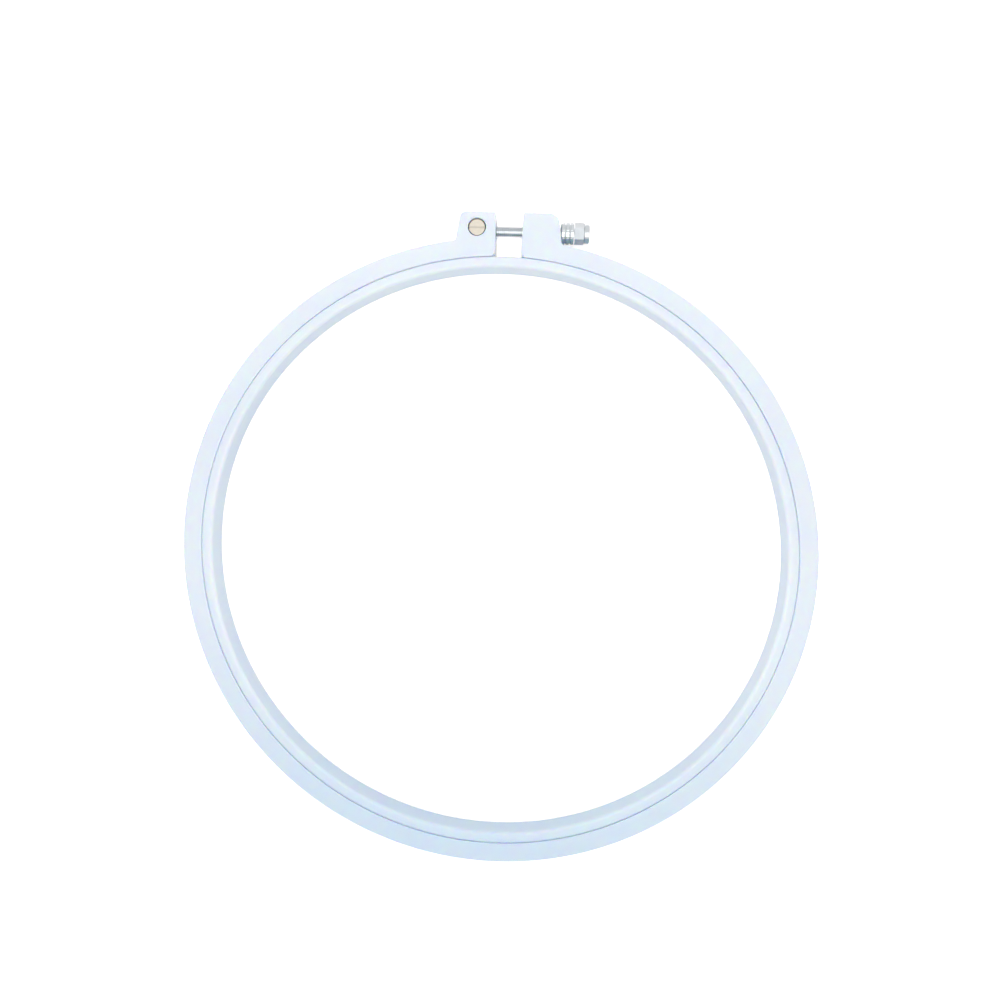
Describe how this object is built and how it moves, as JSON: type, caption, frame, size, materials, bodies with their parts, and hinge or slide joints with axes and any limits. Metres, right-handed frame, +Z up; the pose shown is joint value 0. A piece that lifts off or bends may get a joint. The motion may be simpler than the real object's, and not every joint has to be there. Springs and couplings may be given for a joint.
{
  "type": "embroidery hoop",
  "caption": "Round moulded-plastic embroidery hoop: a closed ring inside a split ring with two lugs, clamped by a thumb screw and a barrel nut.",
  "frame": {"origin": "on the surface that the hoop lies on, midway between the hoop's foot and the tops of its lugs; the rings' common centre is at x = 0, y = -4.35 mm", "axes": "+Z up through the rings' faces, +Y from the rings towards the clamp, +X towards the screw's head"},
  "size_m": [0.2179, 0.2224, 0.01],
  "materials": {
    "ring_plastic": "pale powder-blue moulded plastic with a soft satin gloss",
    "nut_brass": "pale turned brass, satin",
    "plated_steel": "bright zinc-plated turned steel"
  },
  "bodies": {
    "outer_ring": {"outer_ring": "ring_plastic"},
    "inner_ring": {"inner_ring": "ring_plastic"},
    "barrel_nut": {"barrel_nut": "nut_brass"},
    "clamp_screw": {"clamp_screw": "plated_steel"}
  },
  "joints": [
    {"name": "inner_ring_lift", "type": "slide", "parent": "outer_ring", "child": "inner_ring", "axis": [0, 0, 1], "range_m": [0, 0.03]},
    {"name": "barrel_nut_swivel", "type": "hinge", "parent": "outer_ring", "child": "barrel_nut", "pos_m": [-0.011, 0.106, 0.005], "axis": [0, 0, 1], "range_deg": [-0.8, 0.8]},
    {"name": "clamp_screw_turn", "type": "hinge", "parent": "barrel_nut", "child": "clamp_screw", "pos_m": [0, 0.106, 0.005], "axis": [-1, 0, 0], "range_deg": [-4050, 4500]}
  ]
}
